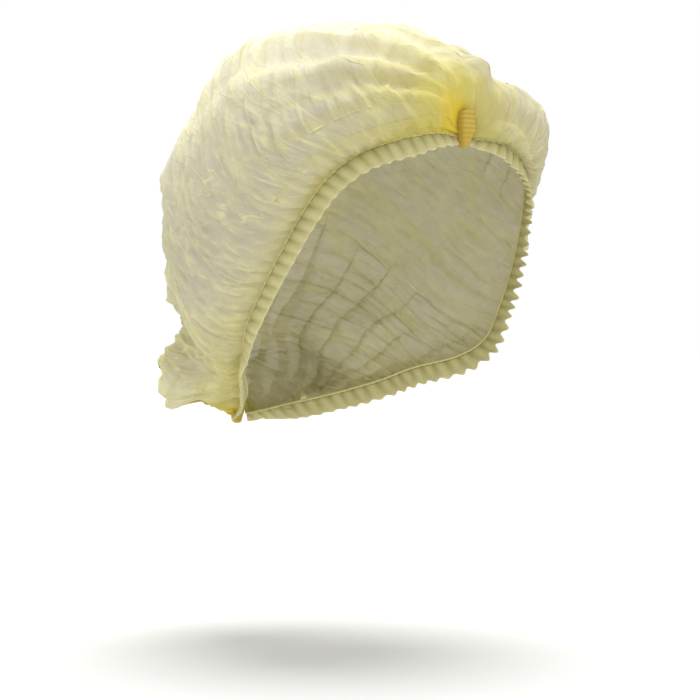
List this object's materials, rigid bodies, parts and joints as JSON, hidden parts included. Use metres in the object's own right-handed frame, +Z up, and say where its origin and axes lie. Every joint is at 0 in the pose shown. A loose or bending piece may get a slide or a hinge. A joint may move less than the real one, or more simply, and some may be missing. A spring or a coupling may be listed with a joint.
{
  "type": "clip cap",
  "caption": "Disposable bouffant clip cap of gathered nonwoven fabric, with ruffled elastic hems and ribbed welded ends, shaped as worn.",
  "frame": {"origin": "inside the crown, where the top of the wearer's head bears", "axes": "+Z up along the wearer's head; the wearer looks along -Y, and the wearer's left is at +X"},
  "size_m": [0.1799, 0.2015, 0.2023],
  "materials": {
    "body": "matte",
    "hem": "matte",
    "elastic": "matte",
    "weld": "satin"
  },
  "bodies": {
    "root": {"crown": "body", "hem_right": "hem", "hem_left": "hem", "elastic_right": "elastic", "elastic_left": "elastic", "front_clip": "weld", "rear_clip": "weld"}
  },
  "joints": []
}
